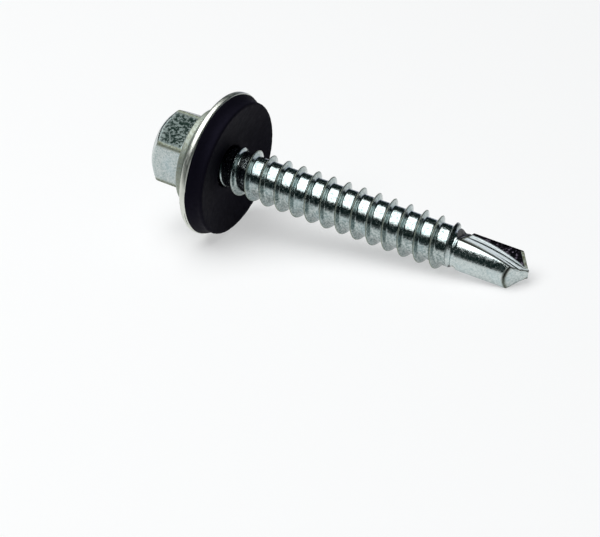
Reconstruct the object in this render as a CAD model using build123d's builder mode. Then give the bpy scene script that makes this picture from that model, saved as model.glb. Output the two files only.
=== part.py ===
from build123d import *

import os
from math import cos, radians, sin, tan

# Self drilling screw with a hex washer head and a bonded sealing washer.
#
# Three pieces: the screw, cold formed and thread rolled in one, the dished steel washer, and
# the rubber seal vulcanised to it.  Each is drawn upright, with z = 0 on the bearing face of
# the head and the point up, and is then laid down as the screw comes to rest: on the rim of
# the washer and on the drill point.  "Station" is a height above the bearing face in the
# upright drawing, and angles about the shaft count from the corner of the hex nearest the top.

# --- Screw: length and head ---------------------------------------------------------------
screw_length = 37.6  # bearing face to point
across_flats = 8.0
head_height = 5.0  # bearing face to the top of the head
corner_circle = 7.2  # diameter where the chamfer cone meets the top of the head
corner_angle = 42.0  # of the chamfer cone, from the plane of the top
recess_diameter = 5.7  # the indented top
recess_depth = 0.55
recess_draft = 35.0  # of the recess wall, from the axis
recess_rim_bevel = 0.12
flange_diameter = 11.0
flange_rim_thickness = 0.75
flange_slope = 11.0  # the flange thickens towards the hex
flange_rim_bevel = 0.2
hex_corner_round = 0.15

# --- Screw: shank and thread --------------------------------------------------------------
crest_diameter = 5.46
root_diameter = 4.17
pitch = 1.81
flank_angle = 60.0  # included angle of the ridge
foot_sink = 0.12  # the ridge is rooted this deep in the core
neck_diameter = 4.4  # plain shank under the head
neck_length = 1.9
neck_taper = 0.4
neck_bevel = 0.3  # in the corner under the head
crest_station = 3.85  # where a crest passes the upper side of the shaft
run_in_start = 2.3  # the ridge rises out of the core from here
run_in_length = 2.4
run_out_length = 1.1  # and sinks back into it ahead of the drill body
run_out_gap = 0.1  # left bare between the thread's end and the drill body

# --- Screw: drill point, measured back from the point -------------------------------------
drill_diameter = 4.5
drill_length = 7.5
drill_step = 0.35  # the cone between core and drill body
web_thickness = 0.72
flute_length = 7.8
flute_depth_stations = (0.6, 3.6)  # where the flute floor's distance from the axis is set
flute_floor_near = 0.42
flute_floor_middle = 1.12
flute_floor_start = 1.48
flute_root_round = 0.25
floor_angle = -19.0  # the way the flute floor faces, about the shaft
rake_angle = 25.0  # the way the cutting face of the opposite wall faces
notch_length = 0.65  # the flute's start runs right across the land behind it
notch_lean = 0.35
end_face_angle = 90.0  # the way one of the two end faces, from lip to heel, runs down
end_face_slope = 38.0  # from square across the shaft

# --- Sealing washer -----------------------------------------------------------------------
washer_diameter = 16.0
washer_bore = 5.3
washer_thickness = 0.8
washer_dish = 1.25  # the coned part brings the rim this far ahead of the middle
washer_flat = 7.0  # diameter of the flat middle that bears on the flange
washer_rim_bevel = 0.2
seat_clearance = 0.03  # between flange and washer
seal_thickness = 1.9
seal_bore = 4.7
seal_inset = 0.12  # the seal's back stays inside the washer's rim
seal_front_diameter = 14.9
seal_hollow = 0.28  # the punched edge pulls in between its two faces
seal_lip_bevel = 0.15

# --- At rest ------------------------------------------------------------------------------
rest_turn = 2.0  # degrees about the shaft that set the flute edges on both sides on the floor
dip_tolerance = 0.001  # degrees

# --- Derived sizes ------------------------------------------------------------------------
crest_radius = crest_diameter / 2
root_radius = root_diameter / 2
neck_radius = neck_diameter / 2
drill_radius = drill_diameter / 2
flange_radius = flange_diameter / 2
flat_radius = across_flats / 2
washer_radius = washer_diameter / 2
washer_flat_radius = washer_flat / 2
seal_front_radius = seal_front_diameter / 2
drill_start = screw_length - drill_length
thread_end = drill_start - run_out_gap
flange_height = flange_rim_thickness + flange_radius / 2 * tan(radians(flange_slope))
seal_seat = seat_clearance + washer_thickness


def lengthwise(angle):
    """A plane through the axis: x points outwards at the angle about the shaft, y to the point."""
    outwards = (cos(radians(angle)), sin(radians(angle)), 0)
    sideways = (sin(radians(angle)), -cos(radians(angle)), 0)
    return Plane((0, 0, 0), x_dir=outwards, z_dir=sideways)


def dish(radius):
    """How far the washer's cone has risen at a radius outside its flat middle."""
    return washer_dish * (radius - washer_flat_radius) / (washer_radius - washer_flat_radius)


# --- Flange and neck, turned --------------------------------------------------------------
with BuildPart() as flange:
    with BuildSketch(Plane.XZ):
        with BuildLine():
            Polyline(
                (0, -flange_height),
                (flange_radius / 2, -flange_height),
                (flange_radius, -flange_rim_thickness),
                (flange_radius, 0),
                (neck_radius, 0),
                (neck_radius, neck_length),
                (root_radius, neck_length + neck_taper),
                (0, neck_length + neck_taper),
                close=True,
            )
        make_face()
        under_head = vertices().group_by(Axis.Y)[2].sort_by(Axis.X)[0]
        chamfer(under_head, neck_bevel)
        chamfer(vertices().group_by(Axis.X)[-1], flange_rim_bevel)
    revolve(axis=Axis.Z)

# --- Hex: a prism whose corners a cone has rounded off, with an indented top --------------
with BuildPart() as head:
    with BuildSketch(Plane.XY.offset(-head_height)):
        RegularPolygon(flat_radius, 6, major_radius=False)
    extrude(amount=head_height - flange_height / 2)
    fillet(edges().filter_by(Axis.Z), hex_corner_round)
    with BuildSketch(Plane.XZ):
        with BuildLine():
            corner_reach = flange_radius - corner_circle / 2
            Polyline(
                (0, -head_height),
                (corner_circle / 2, -head_height),
                (flange_radius, -head_height + corner_reach * tan(radians(corner_angle))),
                (flange_radius, 0),
                (0, 0),
                close=True,
            )
        make_face()
    revolve(axis=Axis.Z, mode=Mode.INTERSECT)
    with BuildSketch(Plane.XZ):
        with BuildLine():
            recess_radius = recess_diameter / 2
            floor_radius = recess_radius - (recess_depth - recess_rim_bevel) * tan(radians(recess_draft))
            Polyline(
                (0, -head_height),
                (recess_radius + recess_rim_bevel, -head_height),
                (recess_radius, -head_height + recess_rim_bevel),
                (floor_radius, -head_height + recess_depth),
                (0, -head_height + recess_depth),
                close=True,
            )
        make_face()
    revolve(axis=Axis.Z, mode=Mode.SUBTRACT)
    add(flange.part)

# --- Thread: a turn of the ridge, repeated along the core, and faded in and out by cones --
ridge_half = (crest_radius - root_radius + foot_sink) * tan(radians(flank_angle / 2))
ridge_start = crest_station - pitch * ((crest_station - run_in_start) // pitch + 1)
ridge_turns = int((thread_end - ridge_start) // pitch) + 2
with BuildPart() as ridge_turn:
    with BuildLine() as ridge_path:
        Helix(pitch, pitch, root_radius)
    with BuildSketch(Plane.XZ):
        with BuildLine():
            Polyline(
                (root_radius - foot_sink, -ridge_half),
                (crest_radius, 0),
                (root_radius - foot_sink, ridge_half),
                close=True,
            )
        make_face()
    sweep(path=ridge_path.line, is_frenet=True)

with BuildPart() as thread:
    with Locations([(0, 0, ridge_start + turn * pitch) for turn in range(ridge_turns)]):
        add(ridge_turn.part)
    with BuildSketch(Plane.XZ):
        with BuildLine():
            in_slope = (crest_radius - root_radius) / run_in_length
            out_slope = (crest_radius - root_radius) / run_out_length
            margin = 2 * foot_sink
            Polyline(
                (0, run_in_start - margin / in_slope),
                (root_radius - margin, run_in_start - margin / in_slope),
                (crest_radius + margin, run_in_start + run_in_length + margin / in_slope),
                (crest_radius + margin, thread_end - run_out_length - margin / out_slope),
                (root_radius - margin, thread_end + margin / out_slope),
                (0, thread_end + margin / out_slope),
                close=True,
            )
        make_face()
    revolve(axis=Axis.Z, mode=Mode.INTERSECT)

# --- Core and drill body, turned, with the two end faces that meet in the chisel edge -----
with BuildPart() as shank:
    core_start = neck_length / 4
    with BuildSketch(Plane.YZ):
        with BuildLine():
            Polyline(
                (0, core_start),
                (root_radius, core_start),
                (root_radius, drill_start - drill_step),
                (drill_radius, drill_start),
                (drill_radius, screw_length),
                (0, screw_length),
                close=True,
            )
        make_face()
    revolve(axis=Axis.Z)
    end_face_drop = flange_radius * tan(radians(end_face_slope))
    with BuildSketch(lengthwise(end_face_angle)):
        with BuildLine():
            Polyline(
                (-flange_radius, 0),
                (-flange_radius, screw_length - end_face_drop),
                (0, screw_length),
                (flange_radius, screw_length - end_face_drop),
                (flange_radius, 0),
                close=True,
            )
        make_face()
    extrude(amount=flange_radius, both=True, mode=Mode.INTERSECT)


def flute_tool(half_turn):
    """What the forging die presses away on one side: the flute and the notch it starts from."""
    start = screw_length - flute_length
    clear = flange_radius
    near, middle = (screw_length - station for station in flute_depth_stations)
    with BuildPart() as flute:
        with BuildSketch(lengthwise(floor_angle + half_turn)):
            with BuildLine():
                floor_arc = ThreePointArc(
                    (flute_floor_start, start), (flute_floor_middle, middle), (flute_floor_near, near)
                )
                Polyline(
                    floor_arc @ 1,
                    (flute_floor_near, screw_length + clear),
                    (clear, screw_length + clear),
                    (clear, start - notch_lean),
                    (drill_radius, start - notch_lean),
                    floor_arc @ 0,
                )
            make_face()
        extrude(amount=clear, both=True)
        with BuildSketch(lengthwise(rake_angle + half_turn)):
            with Locations((web_thickness / 2, start - clear)):
                Rectangle(clear * 2, screw_length + 3 * clear, align=(Align.MIN, Align.MIN))
        extrude(amount=clear * 2, both=True, mode=Mode.INTERSECT)
        root = edges().sort_by_distance((0, 0, screw_length - flute_length / 2))[0]
        fillet(root, flute_root_round)
    with BuildPart() as notch:
        with BuildSketch(lengthwise(floor_angle + half_turn)):
            with BuildLine():
                Polyline(
                    (flute_floor_start, start),
                    (flute_floor_start, start + notch_length),
                    (drill_radius, start + notch_length + notch_lean),
                    (clear, start + notch_length + notch_lean),
                    (clear, start - notch_lean),
                    (drill_radius, start - notch_lean),
                    close=True,
                )
            make_face()
        extrude(amount=clear, both=True)
    return flute.part + notch.part


# --- The screw in one, upright ------------------------------------------------------------
threaded_shank = shank.part + thread.part
with BuildPart() as upright_screw:
    add(threaded_shank)
    add(head.part)
    add(flute_tool(0), mode=Mode.SUBTRACT)
    add(flute_tool(180), mode=Mode.SUBTRACT)

# --- Steel washer, dished: its flat middle bears on the flange ----------------------------
with BuildPart() as upright_washer:
    with BuildSketch(Plane.XZ):
        with BuildLine():
            Polyline(
                (washer_bore / 2, seat_clearance),
                (washer_flat_radius, seat_clearance),
                (washer_radius, seat_clearance + washer_dish),
                (washer_radius, seal_seat + washer_dish),
                (washer_flat_radius, seal_seat),
                (washer_bore / 2, seal_seat),
                close=True,
            )
        make_face()
        chamfer(vertices().group_by(Axis.X)[-1], washer_rim_bevel)
    revolve(axis=Axis.Z)

# --- Rubber seal, vulcanised to the washer's hollow side ----------------------------------
with BuildPart() as upright_seal:
    with BuildSketch(Plane.XZ):
        with BuildLine():
            seal_face = seal_seat + seal_thickness
            back_radius = washer_radius - seal_inset
            back_rim = (back_radius, seal_seat + dish(back_radius))
            front_rim = (seal_front_radius, seal_face + dish(seal_front_radius))
            waist = (
                (back_rim[0] + front_rim[0]) / 2 - seal_hollow,
                (back_rim[1] + front_rim[1]) / 2,
            )
            Polyline(
                (seal_bore / 2, seal_seat),
                (washer_flat_radius, seal_seat),
                back_rim,
                waist,
                front_rim,
                (washer_flat_radius, seal_face),
                (seal_bore / 2, seal_face),
                close=True,
            )
        make_face()
        chamfer(vertices().sort_by_distance(front_rim)[0], seal_lip_bevel)
    revolve(axis=Axis.Z)


def lying(dip, origin=(0, 0, 0)):
    """The upright drawing's plane once the screw lies down, its point dipping to the floor."""
    dip, turn = radians(dip), radians(rest_turn)
    up_side = (sin(dip) * cos(turn), -sin(turn), cos(dip) * cos(turn))
    return Plane(origin, x_dir=up_side, z_dir=(cos(dip), 0, -sin(dip)))


def laid(part, dip):
    """The box round a part that lies at the dip."""
    return lying(dip).from_local_coords(part).bounding_box()


# --- Lay the screw down: the dip that brings the rim and the point to one floor -----------
level, steep = 0.0, 45.0
while steep - level > dip_tolerance:
    dip = (level + steep) / 2
    rim_low = min(laid(upright_washer.part, dip).min.Z, laid(upright_seal.part, dip).min.Z)
    if laid(upright_screw.part, dip).min.Z < rim_low:
        steep = dip
    else:
        level = dip
whole = laid(upright_washer.part, dip).add(laid(upright_seal.part, dip)).add(laid(upright_screw.part, dip))
resting = lying(dip, (-whole.center().X, 0, -whole.min.Z))

with BuildPart(resting) as screw:
    add(upright_screw.part)
with BuildPart(resting) as steel_washer:
    add(upright_washer.part)
with BuildPart(resting) as rubber_seal:
    add(upright_seal.part)

os.makedirs("parts", exist_ok=True)
screw.part.label = "screw"
steel_washer.part.label = "steel_washer"
rubber_seal.part.label = "rubber_seal"
export_step(screw.part, "parts/screw.step")
export_step(steel_washer.part, "parts/steel_washer.step")
export_step(rubber_seal.part, "parts/rubber_seal.step")

print(f"the shaft dips {dip:.3f} degrees; bearing face centre at {resting.origin}")
print(f"the shaft points along {resting.z_dir}, its upper side faces {resting.x_dir}")
for piece in (screw, steel_washer, rubber_seal):
    print(piece.part.label, round(piece.part.volume, 2), piece.part.bounding_box())
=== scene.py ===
import bpy
import numpy as np
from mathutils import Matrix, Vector


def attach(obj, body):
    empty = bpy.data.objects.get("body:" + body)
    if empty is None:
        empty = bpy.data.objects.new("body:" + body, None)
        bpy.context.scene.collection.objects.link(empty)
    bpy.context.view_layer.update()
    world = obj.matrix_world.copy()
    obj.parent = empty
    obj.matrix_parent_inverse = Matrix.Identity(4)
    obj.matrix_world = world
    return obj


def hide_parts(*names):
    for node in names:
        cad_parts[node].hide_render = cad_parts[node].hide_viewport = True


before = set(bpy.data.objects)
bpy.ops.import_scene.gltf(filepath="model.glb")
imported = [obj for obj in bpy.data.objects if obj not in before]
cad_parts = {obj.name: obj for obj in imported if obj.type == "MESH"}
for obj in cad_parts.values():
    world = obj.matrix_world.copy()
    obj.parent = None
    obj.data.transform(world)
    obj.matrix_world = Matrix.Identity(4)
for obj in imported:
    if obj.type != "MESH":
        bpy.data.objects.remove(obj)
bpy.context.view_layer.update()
print("frame loaded:", sorted(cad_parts))

# Lengths below are millimetres, measured upright: station 0 on the bearing face of the head,
# the point at +37.6, angles about the shaft from its upper side. laidDown() puts them where the screw lies.

lie = {
    "faceCentre": (-15.69813, 0.0, 8.211826),
    "dip": 11.016,  # how far the shaft points below level, degrees
    "turn": 2.0,  # about its own axis
}

shaft = {
    "headHeight": 5.0,
    "acrossFlats": 8.0,
    "flangeRadius": 5.5,
    "flangeRim": 0.75,
    "flangeSlope": 11.0,
    "neckRadius": 2.2,
    "rootRadius": 2.085,
    "crestRadius": 2.73,
    "pitch": 1.81,
    "crestStation": 3.85,
    "length": 37.6,
    "drillRadius": 2.25,
    "drillStart": 30.1,
}
ridgeHeight = shaft["crestRadius"] - shaft["rootRadius"]


def laidDown(points):
    # upright millimetres to resting metres: x turns to the upper side and z to the way the point lies, and
    # the middle of the bearing face moves to its place
    dip, turn = np.radians(lie["dip"]), np.radians(lie["turn"])
    pointing = np.array((np.cos(dip), 0.0, -np.sin(dip)))
    upper = np.array((np.sin(dip) * np.cos(turn), -np.sin(turn), np.cos(dip) * np.cos(turn)))
    axes = np.stack((upper, np.cross(pointing, upper), pointing))
    return (points @ axes + np.array(lie["faceCentre"])) / 1000


def softMin(a, b, blend):
    # the smaller of two values, rounded off where they come within the blend of each other
    near = np.clip(blend - np.abs(a - b), 0, None)
    return np.minimum(a, b) - near * near / (4 * blend)


def softMax(a, b, blend):
    # the larger of two values, filled in where they come within the blend of each other
    return -softMin(-a, -b, blend)


def smoothStep(x, start, end):
    # 0 before the start, 1 after the end, and an S-curve between
    t = np.clip((x - start) / (end - start), 0, 1)
    return t * t * (3 - 2 * t)


rippleWaves = {
    "count": 9,
    "turns": (1, 7),  # fewest round the shaft, and one more than the most
    "along": (0.2, 1.6),  # radians per millimetre
    "phases": (0, 6.28),
    "evenOut": 1.6,  # brings the sum to about 1 at most
}


def ripple(angle, along, seed, waves=rippleWaves["count"], reach=1.0):
    # a gentle unevenness about 0: a sum of seeded sine waves that close round the shaft
    chance = np.random.default_rng(seed)
    total = np.zeros(np.broadcast(angle, along).shape)
    for wave in range(waves):
        turns = chance.integers(*rippleWaves["turns"])
        lean = chance.uniform(*rippleWaves["along"]) * along / reach
        total += np.sin(turns * angle + lean + chance.uniform(*rippleWaves["phases"]))
    return total / waves ** 0.5 / rippleWaves["evenOut"]


weldDigits = 5  # decimals of a millimetre to which coinciding points agree


def newObject(name, data):
    # an object that shows the data, put into the scene
    made = bpy.data.objects.new(name, data)
    bpy.context.scene.collection.objects.link(made)
    return made


def wovenPiece(name, radii, angles, stations, marks, rowShift=0, sharpFrom=None):
    # Rows by columns of points, each joined to the next column and row. The last column joins the first,
    # rowShift rows further on, which lets the rows follow a helix. Points that coincide are welded, so poles
    # and clipped rows close, and cells that lose an edge become triangles. marks, values per point, are kept
    # as attributes.
    radii, angles, stations = np.broadcast_arrays(radii, angles, stations)
    rows, columns = radii.shape
    row, column = np.meshgrid(np.arange(rows), np.arange(columns + 1), indexing="ij")
    row = row + np.where(column == columns, rowShift, 0)
    index = np.where(row < rows, row * columns + column % columns, -1)
    cells = np.stack((index[:-1, :-1], index[:-1, 1:], index[1:, 1:], index[1:, :-1]), -1).reshape(-1, 4)
    cells = cells[(cells >= 0).all(1)]
    flat = np.stack((radii * np.cos(angles), radii * np.sin(angles), stations), -1).reshape(-1, 3)
    rounded = np.round(flat, weldDigits)
    _, first, welded = np.unique(rounded, axis=0, return_index=True, return_inverse=True)
    cells = welded.ravel()[cells]
    same = cells == np.roll(cells, -1, 1)
    quads = cells[same.sum(1) == 0]
    quads = quads[(quads[:, 0] != quads[:, 2]) & (quads[:, 1] != quads[:, 3])]
    pinched = same.sum(1) == 1
    drop = same[pinched].argmax(1)
    keep = np.stack([(drop + step) % 4 for step in (1, 2, 3)], 1)
    triangles = np.take_along_axis(cells[pinched], keep, 1)
    used, corners = np.unique(np.concatenate((quads.ravel(), triangles.ravel())), return_inverse=True)
    totals = np.repeat((4, 3), (len(quads), len(triangles)))
    mesh = bpy.data.meshes.new(name)
    mesh.vertices.add(len(used))
    mesh.vertices.foreach_set("co", laidDown(flat[first[used]]).ravel())
    mesh.loops.add(len(corners))
    mesh.loops.foreach_set("vertex_index", corners.ravel().astype(np.int32))
    mesh.polygons.add(len(totals))
    mesh.polygons.foreach_set("loop_start", (np.cumsum(totals) - totals).astype(np.int32))
    mesh.update(calc_edges=True)
    mesh.validate()
    mesh.shade_smooth()
    if sharpFrom:
        mesh.set_sharp_from_angle(angle=np.radians(sharpFrom))
    for mark, values in marks.items():
        layer = mesh.attributes.new(mark, "FLOAT", "POINT")
        full = np.broadcast_to(values, radii.shape).reshape(-1)
        layer.data.foreach_set("value", full[first[used]].astype(np.float32))
    print("made", name, len(mesh.vertices), "points,", len(mesh.polygons), "faces")
    return newObject(name, mesh)


profileRows = {
    "curve": 6,
    "roundLimit": 0.47,  # the most of an edge's length that a curve may take up
    "alongEdge": (0.04, 0.2, 0.4, 0.6, 0.8, 0.96),
}


def roundedProfile(corners, rounds, closed=False):
    # A profile through the corners (count x columns x 2, radius and station), with every corner swapped for
    # a quadratic curve that starts and ends at the given distance; a few rows lie along each edge.
    count = len(corners)
    curves = []
    for spot, here in enumerate(corners):
        if not closed and spot in (0, count - 1):
            curves.append([here])
            continue
        ends = []
        for other in (corners[spot - 1], corners[(spot + 1) % count]):
            length = np.linalg.norm(other - here, axis=-1, keepdims=True)
            cut = np.minimum(rounds[spot], length * profileRows["roundLimit"])
            ends.append(here + (other - here) / length * cut)
        start, end = ends
        ts = np.linspace(0, 1, profileRows["curve"])
        curves.append([(1 - t) ** 2 * start + 2 * t * (1 - t) * here + t * t * end for t in ts])
    profile = []
    for spot, curve in enumerate(curves):
        profile += curve
        if closed or spot < count - 1:
            following = curves[(spot + 1) % count][0]
            profile += [curve[-1] * (1 - part) + following * part for part in profileRows["alongEdge"]]
    if closed:
        profile.append(curves[0][0])
    return np.stack(profile)


head = {
    "columns": (0, 0.45, 0.9, 1.3, 1.8, 2.6, 4, 6, 9, 12, 15, 18, 21, 24, 27),  # degrees from a corner
    "recessRadius": 2.85,
    "recessDepth": 0.55,
    "recessDraft": 35.0,
    "recessRimRound": 0.13,
    "softRound": 0.12,  # at the foot of the recess and on the top's edge
    "cornerCircle": 3.6,  # where the chamfer cone leaves the top
    "cornerAngle": 42.0,
    "hexCornerRound": 0.32,
    "arrisRound": 0.2,  # between cone and flats
    "footRound": 0.42,  # where the flats run out into the flange
    "rimRound": 0.2,
    "unevenness": 0.012,
    "unevenOver": (0.5, 2.0),  # radii over which the unevenness grows
    # how dark and pitted each flat is, from the upper one on, and where that begins and ends
    "flatScale": (1.0, 0.12, 0.6, 0.35, 0.8, 0.5),
    "scaleBelowCone": (-0.2, 0.4),
    "scaleToFoot": (-0.5, -0.1),
    "scaleToCorner": (4.42, 4.55),
    "scaleBeyond": 3.9,
    # worn edges: how wide, from which radii on, how much
    "cornerWear": (0.08, 4.4, 4.55),
    "topWear": (0.12, 2.7, 2.9),
    "topWearAmount": 0.7,
    "rimWear": (5.2, 5.45),
    "rimWearAmount": 0.8,
    "grain": (0.5, 2.5),  # of bare plate, and more on full scale
}


def hexRadius(angles):
    # distance from the axis to a hexagon whose corners are rounded by arcs, with a corner at angle 0
    half = shaft["acrossFlats"] / 2
    roundness = head["hexCornerRound"]
    fromCorner = np.abs((angles + np.pi / 6) % (np.pi / 3) - np.pi / 6)
    flat = half / np.cos(np.pi / 6 - fromCorner)
    arcCentre = (half - roundness) / np.cos(np.pi / 6)
    inside = np.clip(roundness ** 2 - (arcCentre * np.sin(fromCorner)) ** 2, 0, None)
    arc = arcCentre * np.cos(fromCorner) + np.sqrt(inside)
    reach = np.arctan2(roundness / 2, arcCentre + roundness * np.cos(np.pi / 6))
    return np.where(fromCorner < reach, arc, flat)


def flangeTop(radius):
    # station of the flange's upper cone at a radius
    slope = np.tan(np.radians(shaft["flangeSlope"]))
    return -shaft["flangeRim"] - (shaft["flangeRadius"] - radius) * slope


def makeHead():
    # a hexagonal column, rounded by a cone and dished by a punch, on a turned flange: one profile for each
    # angle, through the same nine corners
    half = np.radians(np.array(head["columns"]))
    sector = np.concatenate((half, [np.radians(30)], np.radians(60) - half[:0:-1]))
    angles = np.concatenate([sector + corner * np.pi / 3 for corner in range(6)])
    side = hexRadius(angles)
    top = -shaft["headHeight"]
    recessFloor = top + head["recessDepth"]
    draft = np.tan(np.radians(head["recessDraft"]))
    floorRadius = head["recessRadius"] - head["recessDepth"] * draft
    coneFoot = top + (side - head["cornerCircle"]) * np.tan(np.radians(head["cornerAngle"]))
    corners = (
        (0, recessFloor),
        (floorRadius, recessFloor),
        (head["recessRadius"], top),
        (head["cornerCircle"], top),
        (side, coneFoot),
        (side, flangeTop(side)),
        (shaft["flangeRadius"], -shaft["flangeRim"]),
        (shaft["flangeRadius"], 0),
        (0, 0),
    )
    corners = np.array([np.broadcast_arrays(*pair, side)[:2] for pair in corners]).transpose(0, 2, 1)
    rounds = (0, head["softRound"], head["recessRimRound"], head["softRound"],
              head["arrisRound"], head["footRound"], head["rimRound"], head["rimRound"], 0)
    profile = roundedProfile(corners, rounds)
    radius, station = profile[..., 0], profile[..., 1]
    wander = ripple(angles, station, seed=3) * head["unevenness"]
    inward = smoothStep(radius, *head["unevenOver"]) * (np.abs(wander) + wander) / 2
    radius = radius - inward
    onFlat = smoothStep(station - coneFoot, *head["scaleBelowCone"])
    onFlat = onFlat * (1 - smoothStep(station - flangeTop(side), *head["scaleToFoot"]))
    onFlat = onFlat * (1 - smoothStep(side, *head["scaleToCorner"])) * (radius > head["scaleBeyond"])
    flatNumber = np.clip((angles * 3 / np.pi).astype(int), 0, 5)
    scale = onFlat * np.array(head["flatScale"])[flatNumber]
    width, *reach = head["cornerWear"]
    wear = np.exp(-((radius - side) / width) ** 2) * smoothStep(side, *reach)
    width, *reach = head["topWear"]
    ring = np.exp(-((station - top) / width) ** 2) * smoothStep(radius, *reach) * head["topWearAmount"]
    rim = smoothStep(radius, *head["rimWear"]) * head["rimWearAmount"]
    bareGrain, scaleGrain = head["grain"]
    return wovenPiece("hexWasherHead", radius, angles, station, {
        "wear": np.clip(wear + ring + rim, 0, 1),
        "grain": bareGrain + scaleGrain * scale,
        "scale": scale,
        "satinAndSheen": 0,
    })


thread = {
    "columns": 144,
    "rowsPerTurn": 24,
    "rowCrowding": 1.25,  # power that draws the rows towards the crests
    "rowsFrom": 1.2,
    "rowsTo": 29.6,
    "crestHalfWidth": 0.035,
    "crestBlend": 0.13,
    "footBlend": 0.2,  # the ridge spreads at its foot
    "flankAngle": 48.0,  # both flanks together
    "runInStart": 2.3,
    "runInLength": 2.4,
    "runOutLength": 1.1,
    "runBlend": 0.2,
    "fullShare": (1.05, 0.1),  # most of the ridge's height that they leave, and blend
    "ridgeBlend": 0.08,  # between ridge and run-in or run-out
    "coreBlend": 0.05,  # between ridge and core
    "end": 29.8,
    "neckStep": (1.9, 2.3),
    "unevenness": 0.02,
    "wearFrom": 0.54,  # height over the root where the crest's wear starts
    "wearOver": 0.1,
    "scaleStart": 28.5,
    "grain": 1.1,
}

drill = {
    "columns": 380,
    "stepLength": 0.35,
    "webHalf": 0.36,
    "fluteStart": 29.8,
    "fluteLean": 0.35,
    "notchLength": 0.65,
    "floorNear": (37.0, 0.42),
    "floorMiddle": (34.0, 1.12),
    "floorStart": (29.8, 1.48),
    "rootBlend": 0.3,
    "rampSteepness": 1.3,
    "notchBlend": 0.3,
    "edgeBlends": {
        "upperFlute": 0.22, "lowerFlute": 0.22, "upperNotch": 0.1, "lowerNotch": 0.1, "endFace": 0.14},
    "streakDepth": 0.05,
    "streakWaves": ((3.1, 0.3, 1.4), (6.4, -0.3, 2.1)),  # per mm across the floor, per mm along it, phase
    "streakReach": 1.3,  # radians either side of the floor's middle
    "collars": ((-0.02, 0.12, 0.06), (-0.42, 0.1, -0.09)),  # place from the body's start, width, height
    "floorAngle": -19.0,
    "rakeAngle": 25.0,
    "endFaceAngle": 90.0,  # the way one of the two end faces runs down
    "endFaceSlope": 38.0,
    "grazing": 0.02,  # least cosine between a ray and a plane's facing
    "farOut": 6.0,  # radius given where a ray misses a plane or meets it further out
    "cuttingFaces": (-55.8, 124.2),
    "crowding": ((4.5, 6.0, 4.0), (10.0, 0.8, 0.0)),  # columns by the cutting faces: share, width, shift
    "crowdingTicks": 7201,  # angles at which the shares are summed up
    "stationSpans": ((29.35, 31.0, 36), (31.05, 35.4, 62), (35.44, 36.9, 44)),
    "tipSpan": (0.47, 0.006, 26),
    "tipEnd": 0.004,  # how far the last ring stays behind the point
    "sharpFrom": 42,  # degrees
    # marks of the forging, and painted dark reflections on the last ridge and along the flute edges: how far
    # from an edge, from and to which stations, radii or cosines
    "edgeMark": 0.21,
    "paintedLineWidth": 0.12,  # of the painted dark reflection along a flute's edge
    "paintedLineFrom": (30.0, 30.4),
    "rimFadeAngle": 45.0,  # where the dark edges of the end faces are strongest
    "rimFade": (-0.7, 0.5),  # cosines between which they grow
    "tipEdge": (0.3, 0.6),  # how dark they are anywhere, and more there
    "tipEdgeFrom": (35.2, 35.6),
    "lipStrip": (0.34, 0.42),  # edge of the cleaner strip along a cutting lip
    "nearest": 0.01,  # how near the smallest radius a surface counts as met
    "wallFrom": (-0.05, 0.2),
    "rampTo": (29.9, 30.5),  # end of the scale at the flute's start
    "finFrom": (28.9, 29.2),  # the thread's last ridge, whose side facing up gets a painted dark reflection
    "finHeight": (0.1, 0.3),
    "finFacing": (0.2, 0.7),
    "finPaintedDark": 0.75,
    "wearFrom": 30.2,
    "floorScale": 0.97,
    # the pale satin sheen, which paints a bright reflection, lies where the floor's streaks rise
    "satinStreaks": (-1.0, 0.0),
    "grain": (0.95, 0.8),  # anywhere, and more on the cutting walls
}


def ridgeRadius(offset):
    # the thread's outline at a distance along the shaft from its crest: two straight flanks, a rounded crest
    # and a foot that spreads into the core
    steep = 1 / np.tan(np.radians(thread["flankAngle"] / 2))
    flank = ridgeHeight - (np.abs(offset) - thread["crestHalfWidth"]) * steep
    flank = softMax(flank, 0, thread["footBlend"])
    return shaft["rootRadius"] + softMin(flank, ridgeHeight, thread["crestBlend"])


def ridgeLimit(stations):
    # the cones that fade the ridge in below the head and out ahead of the drill body
    rising = (stations - thread["runInStart"]) / thread["runInLength"]
    falling = (thread["end"] - stations) / thread["runOutLength"]
    share = softMin(softMin(rising, falling, thread["runBlend"]), *thread["fullShare"])
    return shaft["rootRadius"] + ridgeHeight * share


def coreRadius(stations):
    # neck, core and drill body without ridge or flutes: two S-curved steps, a collar and a groove
    toCore = smoothStep(stations, *thread["neckStep"])
    toBody = smoothStep(stations, shaft["drillStart"] - drill["stepLength"], shaft["drillStart"])
    radius = shaft["neckRadius"] + (shaft["rootRadius"] - shaft["neckRadius"]) * toCore
    radius = radius + (shaft["drillRadius"] - shaft["rootRadius"]) * toBody
    for place, width, height in drill["collars"]:
        radius = radius + height * np.exp(-((stations - shaft["drillStart"] - place) / width) ** 2)
    return radius


def joinedBody(ridge, stations):
    # the ridge, lowered by its run-in and run-out, or the core, with the corner between them filled in
    lowered = softMin(ridge, ridgeLimit(stations), thread["ridgeBlend"])
    return softMax(lowered, coreRadius(stations), thread["coreBlend"])


def fromCrest(angles, stations):
    # signed distance along the shaft from the nearest crest of the helix
    turns = (stations - shaft["crestStation"] - shaft["pitch"] * angles / (2 * np.pi)) / shaft["pitch"]
    return (turns - np.round(turns)) * shaft["pitch"]


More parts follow.
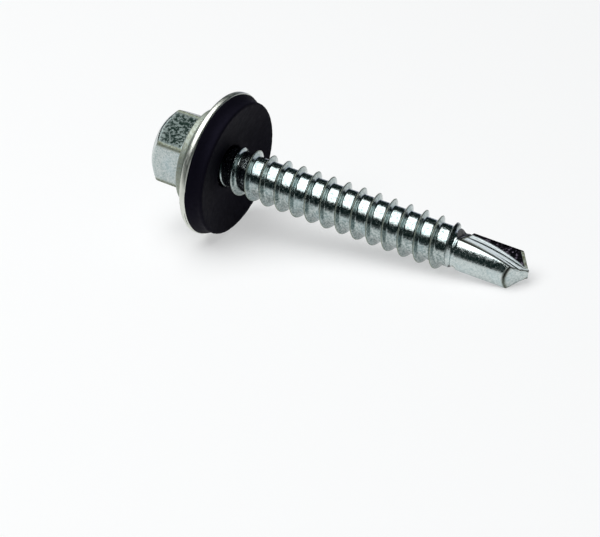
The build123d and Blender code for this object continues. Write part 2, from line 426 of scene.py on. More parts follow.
def fluteFloor(stations):
    # distance of the flute's floor from the axis: an arc through three points, and a ramp out at its start
    (xa, ya), (xb, yb), (xc, yc) = drill["floorStart"], drill["floorMiddle"], drill["floorNear"]
    system = np.array(((xa - xb, ya - yb), (xb - xc, yb - yc)))
    rest = np.array((xa ** 2 - xb ** 2 + ya ** 2 - yb ** 2, xb ** 2 - xc ** 2 + yb ** 2 - yc ** 2)) / 2
    centreX, centreY = np.linalg.solve(system, rest)
    bend = (xa - centreX) ** 2 + (ya - centreY) ** 2
    inside = np.clip(np.minimum(stations, xc), xa, None)
    floor = centreY + np.sqrt(np.clip(bend - (inside - centreX) ** 2, 0, None)) * np.sign(ya - centreY)
    ramp = (drill["fluteStart"] - stations) / drill["fluteLean"] * (shaft["drillRadius"] - ya)
    return floor + np.clip(ramp, 0, None) * drill["rampSteepness"]


def notchFloor(stations):
    # the trough across the land where the flute starts: level, with a slope up at either end
    level = drill["floorStart"][1]
    blend = drill["notchBlend"]
    before = (drill["fluteStart"] - stations) / drill["fluteLean"]
    after = (stations - drill["fluteStart"] - drill["notchLength"]) / drill["fluteLean"]
    return level + softMax(softMax(before, after, blend), 0.0, blend) * (shaft["drillRadius"] - level)


def planeRadius(angles, facing, distance):
    # how far out a ray from the axis meets a plane: the plane's distance over the cosine between them
    towards = np.cos(angles - np.radians(facing))
    met = np.minimum(distance / np.maximum(towards, drill["grazing"]), drill["farOut"])
    return np.where(towards > drill["grazing"], met, drill["farOut"])


def forgedSurfaces(angles, stations, body):
    # radii of the body and of all that the dies press away: the two end faces that meet in the chisel edge,
    # and for each half turn the flute, open above its streaked floor and beside the web, and its notch
    fromMiddle = (angles - np.radians(drill["floorAngle"]) + np.pi / 2) % np.pi - np.pi / 2
    across = np.tan(np.clip(fromMiddle, -drill["streakReach"], drill["streakReach"]))
    streaks = sum(np.sin(perAcross * across * fluteFloor(stations) + perAlong * stations + phase)
                  for perAcross, perAlong, phase in drill["streakWaves"])
    depth = fluteFloor(stations) + drill["streakDepth"] * streaks / 2
    downhill = np.maximum(np.abs(np.cos(angles - np.radians(drill["endFaceAngle"]))), drill["grazing"])
    endFace = (shaft["length"] - stations) / np.tan(np.radians(drill["endFaceSlope"])) / downhill
    surfaces = {"body": body, "endFace": np.minimum(endFace, drill["farOut"]), "streaks": streaks}
    for side, halfTurn in (("upper", 0), ("lower", 180)):
        floor = planeRadius(angles, drill["floorAngle"] + halfTurn, depth)
        wall = planeRadius(angles, drill["rakeAngle"] + halfTurn, drill["webHalf"])
        surfaces[side + "Flute"] = softMax(floor, wall, drill["rootBlend"])
        surfaces[side + "Wall"] = wall - floor
        surfaces[side + "Notch"] = planeRadius(angles, drill["floorAngle"] + halfTurn, notchFloor(stations))
    return surfaces


def forgedMarks(surfaces, angles, stations, radius):
    # where the forging left edges, dark scale on the cutting walls, painted dark reflections on the thread's
    # last ridge and along the flute edges, and a satin finish on the flute floors that also paints their
    # bright reflection: an edge lies where the two smallest radii are nearly equal
    radii = np.broadcast_arrays(*(surfaces[name] for name in ("body", *drill["edgeBlends"])))
    least, second = np.sort(radii, 0)[:2]
    edge = np.exp(-((second - least) / drill["edgeMark"]) ** 2)
    downhill = np.abs(np.cos(angles - np.radians(drill["endFaceAngle"])))
    toEndFace = shaft["length"] - radius * downhill * np.tan(np.radians(drill["endFaceSlope"])) - stations
    strip = 1 - smoothStep(toEndFace, *drill["lipStrip"])
    wall, floor, notch, nearest = 0, 0, 0, np.inf
    for side in ("upper", "lower"):
        nearest = np.minimum(nearest, np.abs(surfaces["body"] - surfaces[side + "Flute"]))
        inFlute = surfaces[side + "Flute"] <= least + drill["nearest"]
        onWall = smoothStep(surfaces[side + "Wall"], *drill["wallFrom"])
        wall = wall + inFlute * onWall
        floor = floor + inFlute * (1 - onWall)
        notch = notch + (surfaces[side + "Notch"] <= least + drill["nearest"])
    wall, floor, notch = (np.clip(mask, 0, 1) for mask in (wall, floor, notch))
    rampOut = 1 - smoothStep(stations, *drill["rampTo"])
    # painted dark reflection on the side of the thread's last ridge that faces up
    aboveCore = radius - coreRadius(stations)
    paintedFinDark = smoothStep(stations, *drill["finFrom"]) * smoothStep(aboveCore, *drill["finHeight"])
    facing = np.cos(angles - np.radians(drill["rakeAngle"]))
    paintedFinDark = drill["finPaintedDark"] * paintedFinDark * smoothStep(facing, *drill["finFacing"])
    # painted dark reflection: a dark line along the edges of the flutes
    rim = np.exp(-(nearest / drill["paintedLineWidth"]) ** 2) * smoothStep(stations, *drill["paintedLineFrom"])
    fade = smoothStep(np.cos(2 * (angles - np.radians(drill["rimFadeAngle"]))), *drill["rimFade"])
    anywhere, more = drill["tipEdge"]
    tipEdge = edge * (1 - wall) * smoothStep(stations, *drill["tipEdgeFrom"]) * (anywhere + more * fade)
    # the scale mark carries the dark scale of the cutting walls and the painted dark reflections
    dark = np.maximum(np.maximum(wall * (1 - strip), paintedFinDark), np.maximum(rim, tipEdge))
    ramp = drill["floorScale"] * np.maximum(notch, floor * rampOut) * (1 - wall)
    streaks = smoothStep(surfaces["streaks"], *drill["satinStreaks"])
    grain, wallGrain = drill["grain"]
    return {
        "wear": np.clip(np.maximum(edge * (stations > drill["wearFrom"]), wall * strip), 0, 1),
        "scale": np.clip(np.maximum(dark, ramp), 0, 1),
        # a satin finish on the flute floors, which also paints their bright reflection
        "satinAndSheen": floor * (1 - notch) * (1 - rampOut) * streaks * (1 - edge),
        "grain": grain + wallGrain * wall * (1 - strip),
    }


def forgedBody(ridge, angles, stations):
    # radius and marks of what the dies leave: the smallest of all radii, with slightly rounded edges between
    # them, and 0 in the first and last row
    surfaces = forgedSurfaces(angles, stations, joinedBody(ridge, stations))
    radius = surfaces["body"]
    for name, blend in drill["edgeBlends"].items():
        radius = softMin(radius, surfaces[name], blend)
    radius = np.maximum(radius, 0.0)
    radius[0], radius[-1] = 0, 0
    return radius, forgedMarks(surfaces, angles, stations, radius)


def makeThreadedShank():
    # rows follow the helix, so that every crest is one unbroken line of points: its own station at angle 0,
    # and one pitch further on after a full turn
    turnRows = thread["rowsPerTurn"]
    even = np.linspace(-1, 1, turnRows, endpoint=False)
    offsets = np.sign(even) * np.abs(even) ** thread["rowCrowding"] * shaft["pitch"] / 2
    start, end = thread["rowsFrom"], thread["rowsTo"]
    turns = int((end - start) / shaft["pitch"]) + 5  # a few turns more at either end, which are clipped
    first = int((start - shaft["crestStation"]) / shaft["pitch"]) - 3
    base = np.concatenate([offsets + shaft["pitch"] * (first + turn) for turn in range(turns)])
    across = np.tile(offsets, turns)[:, None]
    angles = np.linspace(0, 2 * np.pi, thread["columns"], endpoint=False)
    free = shaft["crestStation"] + base[:, None] + shaft["pitch"] * angles / (2 * np.pi)
    stations = np.clip(free, start, end)
    wave = ripple(angles, stations, seed=11, waves=14, reach=2.0) * thread["unevenness"]
    ridge = ridgeRadius(across)
    height = np.clip((ridge - shaft["rootRadius"]) / ridgeHeight, 0, 1)
    ridge = ridge - height * np.clip(wave + thread["unevenness"] / 2, 0, None)
    ridge = np.where(stations == free, ridge, ridgeRadius(fromCrest(angles, stations)))
    radius, forged = forgedBody(ridge, angles, stations)
    return wovenPiece("threadedShank", radius, angles, stations, {
        "wear": np.clip((radius - shaft["rootRadius"] - thread["wearFrom"]) / thread["wearOver"], 0, 1),
        # the forged scale mark, which here carries the painted dark reflection on the last ridge
        "scale": forged["scale"] * (stations > thread["scaleStart"]),
        "satinAndSheen": 0,
        "grain": thread["grain"],
    }, rowShift=turnRows)


def makeDrillPoint():
    # the last core and the forged point; columns crowd where the cutting faces run almost straight out
    ticks = np.linspace(0, 2 * np.pi, drill["crowdingTicks"])
    crowd = np.ones_like(ticks)
    for most, width, shift in drill["crowding"]:
        for face in drill["cuttingFaces"]:
            gap = np.abs((ticks - np.radians(face + shift) + np.pi) % (2 * np.pi) - np.pi)
            crowd += most * np.exp(-(gap / np.radians(width)) ** 2)
    share = np.concatenate(([0], np.cumsum((crowd[1:] + crowd[:-1]) / 2)))
    angles = np.interp(np.linspace(0, share[-1], drill["columns"], endpoint=False), share, ticks)
    stations = np.concatenate((
        [drill["stationSpans"][0][0]],
        *(np.linspace(*span) for span in drill["stationSpans"]),
        shaft["length"] - np.geomspace(*drill["tipSpan"]),
        [shaft["length"] - drill["tipEnd"]],
    ))[:, None]
    radius, marks = forgedBody(ridgeRadius(fromCrest(angles, stations)), angles, stations)
    return wovenPiece("drillPoint", radius, angles, stations, marks, sharpFrom=drill["sharpFrom"])


washer = {
    "bore": 2.65,
    "flatRadius": 3.5,
    "radius": 8.0,
    "dish": 1.25,
    "back": 0.03,
    "thickness": 0.8,
    "boreRound": 0.1,
    "bendRound": 1.6,
    "rimRound": 0.34,
    "unevenness": 0.006,
    "unevenOver": (6.0, 8.0),  # radii over which the rim's unevenness grows
    "wearFrom": (7.7, 7.95),
    "coveredAt": 118.0,  # where the rubber's flash laps over the rim, degrees about the shaft
    "coveredReach": 50.0,
    "coveredInset": 0.06,
    "columns": 256,
}

seal = {
    "bore": 2.35,
    "inset": 0.08,
    "flashBack": 0.3,  # how far the flash laps back over the rim
    "frontRadius": 7.45,
    "thickness": 1.9,
    "hollow": 0.28,
    "rounds": {"backBore": 0.1, "back": 0.1, "waist": 0.5, "lip": 0.42, "frontBore": 0.25},
    "ragged": 0.045,
    "raggedOver": (6.4, 7.4),
    "raggedShares": (0.5, 0.4, 0.4),  # of fine waves, of broad waves and all round
    "fineTurns": 11,  # how much closer the fine waves are than the broad ones
    "fineSag": 0.012,  # of the front face
    "broadSag": 0.02,
    "sagFrom": 1.2,  # ahead of the steel
    "sagTo": 0.4,  # ahead of the face
    "lapOver": (7.3, 7.85),
    "lapGap": 0.03,
    "lapFade": (2.2, 3.0),  # stations over which the lapped rubber goes over to its own edge
    "columns": 288,
}


def dishRise(radius):
    # how far the washer's cone stands ahead of its flat middle
    return washer["dish"] * (radius - washer["flatRadius"]) / (washer["radius"] - washer["flatRadius"])


def coveredShare(angles):
    # 1 where the flash laps furthest over the rim, falling to 0 either side
    away = np.abs((np.degrees(angles) - washer["coveredAt"] + 180) % 360 - 180)
    return 1 - smoothStep(away, 0, washer["coveredReach"])


def carriedRound(outline, columns):
    # a closed profile carried round the shaft, from the radius, station and rounding of each corner
    angles = np.linspace(0, 2 * np.pi, columns, endpoint=False)
    *corners, rounds = np.array(outline).T
    corners = np.stack(corners, -1)[:, None, :] + np.zeros((1, columns, 1))
    profile = roundedProfile(corners, rounds, closed=True)
    return angles, profile[..., 0], profile[..., 1]


def makeSteelWasher():
    # a closed profile carried round: flat middle, coned dish, rolled rim
    back, front = washer["back"], washer["back"] + washer["thickness"]
    angles, radius, station = carriedRound((
        (washer["bore"], back, washer["boreRound"]),
        (washer["flatRadius"], back, washer["bendRound"]),
        (washer["radius"], back + washer["dish"], washer["rimRound"]),
        (washer["radius"], front + washer["dish"], washer["rimRound"]),
        (washer["flatRadius"], front, washer["bendRound"]),
        (washer["bore"], front, washer["boreRound"]),
    ), washer["columns"])
    uneven = (ripple(angles, station, seed=21) + 1) * washer["unevenness"]
    inward = uneven + washer["coveredInset"] * coveredShare(angles)
    radius = radius - smoothStep(radius, *washer["unevenOver"]) * inward
    return wovenPiece("dishedWasher", radius, angles, station, {
        "wear": smoothStep(radius, *washer["wearFrom"]),
    })


def makeRubberSeal():
    # a closed profile carried round, its punched edge pulled in at mid height and slightly ragged
    rounds = seal["rounds"]
    seat = washer["back"] + washer["thickness"]
    backRadius = washer["radius"] - seal["inset"]
    backRim = (backRadius, seat + dishRise(backRadius))
    face = seat + seal["thickness"]
    frontRim = (seal["frontRadius"], face + dishRise(seal["frontRadius"]))
    waist = ((backRim[0] + frontRim[0]) / 2 - seal["hollow"], (backRim[1] + frontRim[1]) / 2)
    angles, radius, station = carriedRound((
        (seal["bore"], seat, rounds["backBore"]),
        (washer["flatRadius"], seat, washer["bendRound"]),
        (*backRim, rounds["back"]),
        (*waist, rounds["waist"]),
        (*frontRim, rounds["lip"]),
        (washer["flatRadius"], face, washer["bendRound"]),
        (seal["bore"], face, rounds["frontBore"]),
    ), seal["columns"])
    atEdge = smoothStep(radius, *seal["raggedOver"])
    fine = np.abs(ripple(angles * seal["fineTurns"], station, seed=31, waves=12, reach=0.3))
    broad = ripple(angles, station, seed=32)
    lapped = coveredShare(angles) * smoothStep(radius, *seal["lapOver"])
    fineShare, broadShare, allRound = seal["raggedShares"]
    ragged = fine * fineShare + broad * broadShare + allRound
    radius = radius - atEdge * seal["ragged"] * ragged * (1 - lapped)
    radius = radius + lapped * (seal["inset"] - seal["lapGap"])
    sag = fine * seal["fineSag"] + (broad + 1) * seal["broadSag"]
    station = station - smoothStep(station, seat + seal["sagFrom"], face + seal["sagTo"]) * sag
    station = station - lapped * seal["flashBack"] * (1 - smoothStep(station, *seal["lapFade"]))
    return wovenPiece("rubberSeal", radius, angles, station, {"wear": atEdge})


def newGroup(name, inputs, outputs):
    # an empty node group that takes a position and named numbers, and gives named numbers
    group = bpy.data.node_groups.new(name, "ShaderNodeTree")
    addSocket = group.interface.new_socket
    addSocket("Position", in_out="INPUT", socket_type="NodeSocketVector")
    for way, labels in (("INPUT", inputs), ("OUTPUT", outputs)):
        for label in labels:
            addSocket(label, in_out=way, socket_type="NodeSocketFloat")
    entry, leave = group.nodes.new("NodeGroupInput"), group.nodes.new("NodeGroupOutput")
    return group, entry.outputs, leave.inputs


def addNode(tree, kind, values=None, **settings):
    # makes a node with its settings, and input values or links by name or place, and gives its outputs
    node = tree.nodes.new("ShaderNode" + kind)
    for setting, value in settings.items():
        setattr(node, setting, value)
    for socket, value in (values or {}).items():
        if isinstance(value, bpy.types.NodeSocket):
            tree.links.new(value, node.inputs[socket])
        else:
            node.inputs[socket].default_value = value
    return node.outputs


def mathNode(tree, operation, *terms, clamped=False):
    # a math node on sockets and plain numbers
    return addNode(tree, "Math", dict(enumerate(terms)), operation=operation, use_clamp=clamped)[0]


def product(tree, first, second, added=0.0, clamped=False):
    # two values multiplied, and a third added
    return mathNode(tree, "MULTIPLY_ADD", first, second, added, clamped=clamped)


def rangeNode(tree, value, given, wanted=(0.0, 1.0), smooth=False):
    # carries the given range of a value over to the wanted one, straight or along an S-curve
    return addNode(tree, "MapRange", {
        "Value": value, "From Min": given[0], "From Max": given[1], "To Min": wanted[0], "To Max": wanted[1],
    }, interpolation_type="SMOOTHSTEP" if smooth else "LINEAR")["Result"]


spanglePattern = {
    "cellWeight": 0.5,  # of the cells beside the coarse noise
    "fineShare": 0.45,
    "middle": 0.6,  # height that gives a tone of a half
    "gain": 6.0,
}


def makeSpangle():
    # crystal grain of a plated surface: cells and coarse noise, mixed with fine noise, as a height; the tone
    # is a half and gain times contrast times the height less its middle
    group, entry, leave = newGroup("spangle", ("Cell Scale", "Fine Scale", "Contrast"), ("Tone", "Height"))
    place, coarse = entry["Position"], entry["Cell Scale"]
    cells = addNode(group, "TexVoronoi", {"Vector": place, "Scale": coarse}, feature="SMOOTH_F1")
    warp = addNode(group, "TexNoise", {"Vector": place, "Scale": coarse, "Roughness": 0.6})["Fac"]
    fine = addNode(group, "TexNoise", {
        "Vector": place, "Scale": entry["Fine Scale"], "Detail": 4.0, "Roughness": 0.65})["Fac"]
    both = product(group, cells["Distance"], spanglePattern["cellWeight"], warp)
    height = addNode(group, "Mix", {
        "Factor": spanglePattern["fineShare"], "A": both, "B": fine})["Result"]
    centred = mathNode(group, "SUBTRACT", height, spanglePattern["middle"])
    contrast = product(group, entry["Contrast"], spanglePattern["gain"])
    group.links.new(product(group, centred, contrast, 0.5, clamped=True), leave["Tone"])
    group.links.new(height, leave["Height"])
    return group


scuffPattern = {
    "stretch": (1.0, 6.0, 2.5),
    "turn": (0.6, 0.4, 0.9),
    "speckFineness": 3.0,
    "limit": (0.62, 0.74),
}


def makeScuffs():
    # sparse short scratches and specks, 1 where the surface is marked: the larger of a stretched noise and
    # a finer one, over a limit
    group, entry, leave = newGroup("scuffs", ("Scale", "Amount"), ("Mask",))
    stretched = addNode(group, "Mapping", {
        "Vector": entry["Position"], "Scale": scuffPattern["stretch"],
        "Rotation": scuffPattern["turn"]})["Vector"]
    lines = addNode(group, "TexNoise", {
        "Vector": stretched, "Scale": entry["Scale"], "Detail": 3.0, "Roughness": 0.75, "Distortion": 0.4})
    fineScale = product(group, entry["Scale"], scuffPattern["speckFineness"])
    specks = addNode(group, "TexNoise", {"Vector": entry["Position"], "Scale": fineScale, "Detail": 1.0})
    most = mathNode(group, "MAXIMUM", lines["Fac"], specks["Fac"])
    marked = rangeNode(group, most, scuffPattern["limit"])
    group.links.new(product(group, marked, entry["Amount"], clamped=True), leave["Mask"])
    return group


spangle = makeSpangle()
scuffs = makeScuffs()


def newMaterial(name):
    # a node material with its tree, its shader's inputs and object coordinates
    material = bpy.data.materials.new(name)
    material.use_nodes = True
    tree = material.node_tree
    place = addNode(tree, "TexCoord")["Object"]
    return material, tree, tree.nodes["Principled BSDF"].inputs, place


def markOf(tree, mark):
    # a piece's own mark, as stored per point
    return addNode(tree, "Attribute", attribute_name=mark)["Fac"]


def mixColour(tree, factor, first, second):
    # blends two colours, given as sockets or as plain numbers
    first, second = ((*colour, 1) if isinstance(colour, tuple) else colour for colour in (first, second))
    return addNode(tree, "Mix", {"Factor": factor, 6: first, 7: second}, data_type="RGBA")[2]


def dress(tree, inputs, colour, rough, height, look):
    # links a colour, a roughness and a height, as bump of the look's grain, to a shader's inputs
    bump = addNode(tree, "Bump", {
        "Height": height, "Strength": look.get("grainStrength", 1.0), "Distance": look["grainDepth"]})
    for socket, value in (("Base Color", colour), ("Roughness", rough), ("Normal", bump[0])):
        tree.links.new(value, inputs[socket])


def grainOf(tree, place, look):
    # tone and height of a look's spangle
    grain = addNode(tree, "Group", {
        "Position": place, "Cell Scale": look["cellScale"], "Fine Scale": look["fineScale"],
        "Contrast": look["contrast"],
    }, node_tree=spangle)
    return grain["Tone"], grain["Height"]


def scuffsOf(tree, place, look):
    # the mask of a look's scuffs
    return addNode(tree, "Group", {
        "Position": place, "Scale": look["scuffScale"], "Amount": look["scuffAmount"],
    }, node_tree=scuffs)["Mask"]


zincLook = {
    "pale": (0.6, 0.65, 0.64),
    "dark": (0.2, 0.28, 0.28),
    "cloud": (0.44, 0.56, 0.6),
    "cloudScale": 450.0,
    "cloudFrom": (0.5, 0.75),
    "cloudAmount": 0.5,
    "worn": (0.22, 0.235, 0.14),
    "wornAmount": 0.85,
    "wornBroken": 0.5,  # how much of the wear follows the grain's tone
    "cellScale": 4200.0,
    "fineScale": 9500.0,
    "contrast": 0.75,
    "grainTone": 0.75,  # how much of the grain's tone shows on bare plate
    "roughness": (0.09, 0.24),  # by the grain's tone
    "scuffRough": 0.15,
    "wornRough": 0.55,  # of worn and of satin places
    "scaleRough": 0.2,
    "scuffScale": 1500.0,
    "scuffAmount": 0.8,
    "scuffDepth": 0.15,  # of the grain's
    "grainDepth": 0.000012,
    "satinSheenColour": (0.8, 0.86, 0.9),
    "paleSheen": 0.6,  # how far the satin finish goes over to a white, less metallic sheen: a painted bright reflection
    "scaleDark": (0.006, 0.012, 0.01),
    "scalePale": (0.085, 0.105, 0.1),
    "scaleFrom": 0.45,  # pit tone below which the scale is plain dark
    "pits": {"cellScale": 3400.0, "fineScale": 7820.0, "contrast": 1.2},
    "pitDepth": 0.000035,
}
# a darker copy of the zinc look for the thread: the same plate as the head's, drawn darker as painted shade
shadedShankLook = {
    **zincLook,
    "pale": (0.49, 0.54, 0.53),
    "dark": (0.1, 0.155, 0.155),
    "cloud": (0.35, 0.46, 0.49),
}
drillLook = {
    **zincLook,
    "dark": (0.32, 0.4, 0.4),
    "worn": (0.12, 0.12, 0.045),
    "satinSheenColour": (0.86, 0.94, 0.96),
    "paleSheen": 0.8,
    "scaleDark": (0.0015, 0.0015, 0.002),
    "scalePale": (0.06, 0.052, 0.07),
    "scaleFrom": 0.72,
    "pits": {"cellScale": 3000.0, "fineScale": 6900.0, "contrast": 0.6},
    "pitDepth": 0.00002,
}


def makeZinc(name, look):
    # bright zinc plate: a cool grey mirror broken by grain, olive where it is worn, dark and pitted where
    # the forging scale shows through and where a dark reflection is painted, satin, paler and less metallic
    # where the dies dragged, which also paints a bright reflection
    material, tree, inputs, place = newMaterial(name)
    wear, grain, scale, satinAndSheen = (markOf(tree, mark) for mark in ("wear", "grain", "scale", "satinAndSheen"))
    tone, height = grainOf(tree, place, look)
    pitTone, pitHeight = grainOf(tree, place, look["pits"])
    scuffed = scuffsOf(tree, place, look)
    cloud = addNode(tree, "TexNoise", {"Vector": place, "Scale": look["cloudScale"]})["Fac"]
    patchy = rangeNode(tree, cloud, look["cloudFrom"], (0.0, look["cloudAmount"]))
    grainy = mixColour(tree, tone, look["dark"], look["pale"])
    toned = product(tree, grain, look["grainTone"], clamped=True)
    base = mixColour(tree, toned, look["pale"], grainy)
    broken = product(tree, tone, look["wornBroken"], 1 - look["wornBroken"])
    worn = product(tree, wear, broken)
    worn = product(tree, worn, look["wornAmount"], clamped=True)
    flecks = rangeNode(tree, pitTone, (look["scaleFrom"], 1.0))
    flecked = mixColour(tree, flecks, look["scaleDark"], look["scalePale"])
    for share, colour in (
        (patchy, look["cloud"]), (satinAndSheen, look["satinSheenColour"]), (worn, look["worn"]), (scale, flecked),
    ):
        base = mixColour(tree, share, base, colour)
    rough = rangeNode(tree, tone, (0.0, 1.0), look["roughness"])
    dulled = mathNode(tree, "MAXIMUM", satinAndSheen, wear)
    for share, more in ((scuffed, "scuffRough"), (dulled, "wornRough"), (scale, "scaleRough")):
        rough = product(tree, share, look[more], rough, clamped=True)
    height = product(tree, height, grain)
    height = product(tree, scuffed, -look["scuffDepth"], height)
    pitted = product(tree, pitHeight, scale)
    height = product(tree, pitted, look["pitDepth"] / look["grainDepth"], height)
    dress(tree, inputs, base, rough, height, look)
    # satin places lose metal and show their pale colour: a painted bright reflection
    tree.links.new(product(tree, satinAndSheen, -look["paleSheen"], 1.0), inputs["Metallic"])
    return material


washerLook = {
    "pale": (0.5, 0.54, 0.51),
    "dark": (0.27, 0.31, 0.29),
    "rim": (0.66, 0.68, 0.62),
    "cellScale": 2600.0,
    "fineScale": 8000.0,
    "contrast": 0.6,
    "roughness": (0.28, 0.46),
    "scuffScale": 1100.0,
    "scuffAmount": 0.9,
    "scuffDepth": 0.3,
    "grainDepth": 0.00001,
}


def makeWasherZinc():
    # duller, frosted plate on the pressed washer: two greys by the grain's tone, paler on the rim
    look = washerLook
    material, tree, inputs, place = newMaterial("frostedZinc")
    tone, height = grainOf(tree, place, look)
    frosted = mixColour(tree, tone, look["dark"], look["pale"])
    frosted = mixColour(tree, markOf(tree, "wear"), frosted, look["rim"])
    rough = rangeNode(tree, tone, (0.0, 1.0), look["roughness"])
    height = product(tree, scuffsOf(tree, place, look), -look["scuffDepth"], height)
    dress(tree, inputs, frosted, rough, height, look)
    inputs["Metallic"].default_value = 1.0
    return material


rubberLook = {
    "black": (0.0032, 0.0029, 0.005),
    "worn": (0.006, 0.006, 0.01),
    "edgeWear": 0.1,
    "cellScale": 1900.0,
    "fineScale": 6000.0,
    "contrast": 0.35,
    "roughness": (0.62, 0.8),
    "scuffScale": 700.0,
    "scuffAmount": 0.6,
    "scuffWear": 0.5,
    "grainDepth": 0.00003,
    "grainStrength": 0.8,
    "shine": 0.09,
    "shineTint": (0.5, 0.45, 1.0, 1),
}


def makeRubber():
    # matt black rubber: faint moulded grain, a few paler scuffs
    look = rubberLook
    material, tree, inputs, place = newMaterial("sealRubber")
    tone, height = grainOf(tree, place, look)
    edge = product(tree, markOf(tree, "wear"), look["edgeWear"])
    worn = product(tree, scuffsOf(tree, place, look), look["scuffWear"], edge, clamped=True)
    rough = rangeNode(tree, tone, (0.0, 1.0), look["roughness"])
    colour = mixColour(tree, worn, look["black"], look["worn"])
    dress(tree, inputs, colour, rough, height, look)
    inputs["Specular IOR Level"].default_value = look["shine"]
    inputs["Specular Tint"].default_value = look["shineTint"]
    return material


# the thread gets the darker copy of the zinc, which paints shade onto it
zinc, shadedShankZinc = makeZinc("brightZinc", zincLook), makeZinc("shadedShankZinc", shadedShankLook)
drillZinc = makeZinc("forgedZinc", drillLook)
washerZinc, rubber = makeWasherZinc(), makeRubber()
print("finishes made")

for piece, finish, slotName in (
    (makeHead(), zinc, "screw_steel"),
    (makeThreadedShank(), shadedShankZinc, "screw_steel"),
    (makeDrillPoint(), drillZinc, "screw_steel"),
):
    piece.data.materials.append(finish)
    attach(piece, "screw")
    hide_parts("screw")

for piece, finish, slotName, node in (
    (makeSteelWasher(), washerZinc, "washer_steel", "steel_washer"),
    (makeRubberSeal(), rubber, "seal_rubber", "rubber_seal"),
):
    piece.data.materials.append(finish)
    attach(piece, "washer")
    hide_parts(node)
print("pieces placed")


studio = {
    "floorRings": (0.03, 0.1, 0.3, 1.0, 3.0),
    "floorColumns": 96,
    "floorColour": (0.955, 0.96, 0.965, 1),
    "floorRoughness": 0.9,
    "floorShine": 0.1,
    "white": (0.985, 0.988, 0.99, 1),
    "whiteOver": (0.02, 0.35),  # metres from the middle over which plain white grows
    "whiteNear": 0.5,  # share of it next to the screw, which keeps the shadow light
    "softboxPlace": (-0.17, -0.14, 0.5),
    "softboxAim": (-0.13, -0.11, 0.0),
    "softboxSize": (0.6, 0.66),
    "softboxPower": 4.25,
    "paintedCardColour": (0.03, 0.042, 0.042, 1),  # painted dark reflections: two dark cards painted on the floor, seen in reflections alone
    "cardAmount": 0.92,
    "frontCard": (-0.01, -0.022),  # y where the one in front starts and is full
    "frontSlope": 0.8,  # how much further out it starts per metre to either side
    "rightCard": (0.024, 0.036),  # x where the one beyond the point starts and is full
    "rightSlope": -1.2,
    "roomColour": (0.01, 0.022, 0.021),
    "horizonColour": (0.7, 0.72, 0.98),
    "horizonBearing": 95.0,  # middle of the pale horizon, degrees from the x axis
    "horizonWidth": (0.45, 0.75),  # cosines from that way
    "horizonHeight": (0.14, 0.03),  # sines over level
}


def paintedCardShare(tree, place, gloss):
    # on reflections only, a painted dark reflection: how far the floor is covered by the card in front of
    # the screw or by the one beyond its point, which both start further out to either side
    split = addNode(tree, "SeparateXYZ", {0: place})
    shares = []
    for along, across, card in ((split["Y"], split["X"], "front"), (split["X"], split["Y"], "right")):
        aside = mathNode(tree, "ABSOLUTE", across)
        reach = product(tree, aside, studio[card + "Slope"], along)
        shares.append(rangeNode(tree, reach, studio[card + "Card"], smooth=True))
    either = product(tree, mathNode(tree, "MAXIMUM", *shares), gloss)
    return product(tree, either, studio["cardAmount"])


def glowOver(tree, share, surface, colour):
    # covers a share of a surface with a plain glow
    glow = addNode(tree, "Emission", {"Color": colour, "Strength": 1.0})[0]
    return addNode(tree, "MixShader", {0: share, 1: surface, 2: glow})[0]


def makeFloor():
    # a wide round sheet under the screw, plain and shadowed close by; to the camera, in reflections and
    # through glass it goes over to white in the distance; in reflections alone it also carries the painted
    # dark cards
    turns = np.linspace(0, 2 * np.pi, studio["floorColumns"], endpoint=False)
    radii = np.array(studio["floorRings"])[:, None]
    points = np.stack(np.broadcast_arrays(radii * np.cos(turns), radii * np.sin(turns), 0 * radii), -1)
    index = np.arange(radii.size * turns.size).reshape(radii.size, turns.size)
    nextIndex = np.roll(index, -1, 1)
    faces = np.stack((index[:-1], index[1:], nextIndex[1:], nextIndex[:-1]), -1).reshape(-1, 4)
    mesh = bpy.data.meshes.new("paleFloor")
    mesh.from_pydata(points.reshape(-1, 3).tolist(), [], [*faces.tolist(), index[0].tolist()])
    floor = newObject("paleFloor", mesh)
    material, tree, inputs, place = newMaterial("paleSheet")
    inputs["Base Color"].default_value = studio["floorColour"]
    inputs["Roughness"].default_value = studio["floorRoughness"]
    inputs["Specular IOR Level"].default_value = studio["floorShine"]
    distance = addNode(tree, "VectorMath", {0: place}, operation="LENGTH")["Value"]
    far = rangeNode(tree, distance, studio["whiteOver"], (studio["whiteNear"], 1.0), smooth=True)
    paths = addNode(tree, "LightPath")
    seen = mathNode(tree, "MAXIMUM", paths["Is Camera Ray"], paths["Is Glossy Ray"])
    seen = product(tree, mathNode(tree, "MAXIMUM", seen, paths["Is Transmission Ray"]), far)
    sheet = glowOver(tree, seen, tree.nodes["Principled BSDF"].outputs[0], studio["white"])
    sheet = glowOver(tree, paintedCardShare(tree, place, paths["Is Glossy Ray"]), sheet, studio["paintedCardColour"])
    tree.links.new(sheet, tree.nodes["Material Output"].inputs["Surface"])
    mesh.materials.append(material)


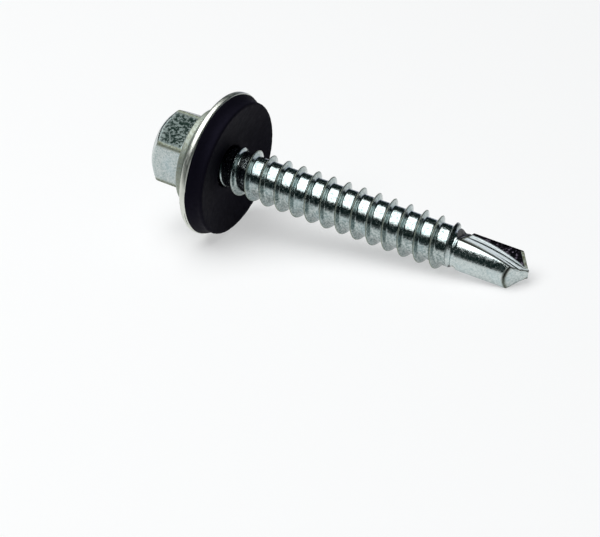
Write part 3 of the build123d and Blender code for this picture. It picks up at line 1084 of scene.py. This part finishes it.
def makeSoftbox():
    # one rectangular soft light overhead that faces its aim
    lamp = bpy.data.lights.new("overheadSoftbox", "AREA")
    lamp.shape = "RECTANGLE"
    lamp.size, lamp.size_y = studio["softboxSize"]
    lamp.energy = studio["softboxPower"]
    light = newObject("overheadSoftbox", lamp)
    light.location = studio["softboxPlace"]
    way = Vector(studio["softboxAim"]) - Vector(studio["softboxPlace"])
    light.rotation_euler = way.to_track_quat("-Z", "Y").to_euler()


def makeRoom():
    # a dim room with a pale horizon behind the screw; plain white where the camera looks past the floor
    world = bpy.data.worlds.new("studioRoom")
    world.use_nodes = True
    bpy.context.scene.world = world
    tree = world.node_tree
    place = addNode(tree, "TexCoord")["Generated"]
    split = addNode(tree, "SeparateXYZ", {0: place})
    bearing = np.radians(studio["horizonBearing"])
    way = (np.cos(bearing), np.sin(bearing), 0)
    along = addNode(tree, "VectorMath", {0: place, 1: way}, operation="DOT_PRODUCT")
    facing = rangeNode(tree, along["Value"], studio["horizonWidth"], smooth=True)
    low = rangeNode(tree, split["Z"], studio["horizonHeight"], smooth=True)
    band = product(tree, facing, low)
    colour = mixColour(tree, band, studio["roomColour"], studio["horizonColour"])
    seen = addNode(tree, "LightPath")["Is Camera Ray"]
    tree.links.new(mixColour(tree, seen, colour, (1, 1, 1)), tree.nodes["Background"].inputs["Color"])


cameraView = {
    "sensorWidth": 36.0,
    "lens": 99.244,
    "nearest": 0.005,
    "place": (0.0778236, -0.1370973, 0.0765525),
    "turn": (63.48613, 3.92084, 29.26294),
}


def makeCamera():
    # the main camera
    data = bpy.data.cameras.new("camera")
    data.sensor_fit = "HORIZONTAL"
    data.sensor_width = cameraView["sensorWidth"]
    data.lens = cameraView["lens"]
    data.clip_start = cameraView["nearest"]
    camera = newObject("camera", data)
    camera.location = cameraView["place"]
    camera.rotation_euler = np.radians(cameraView["turn"])
    bpy.context.scene.camera = camera


makeFloor()
makeSoftbox()
makeRoom()
makeCamera()
bpy.context.scene.view_settings.view_transform = "Standard"
print("studio ready")
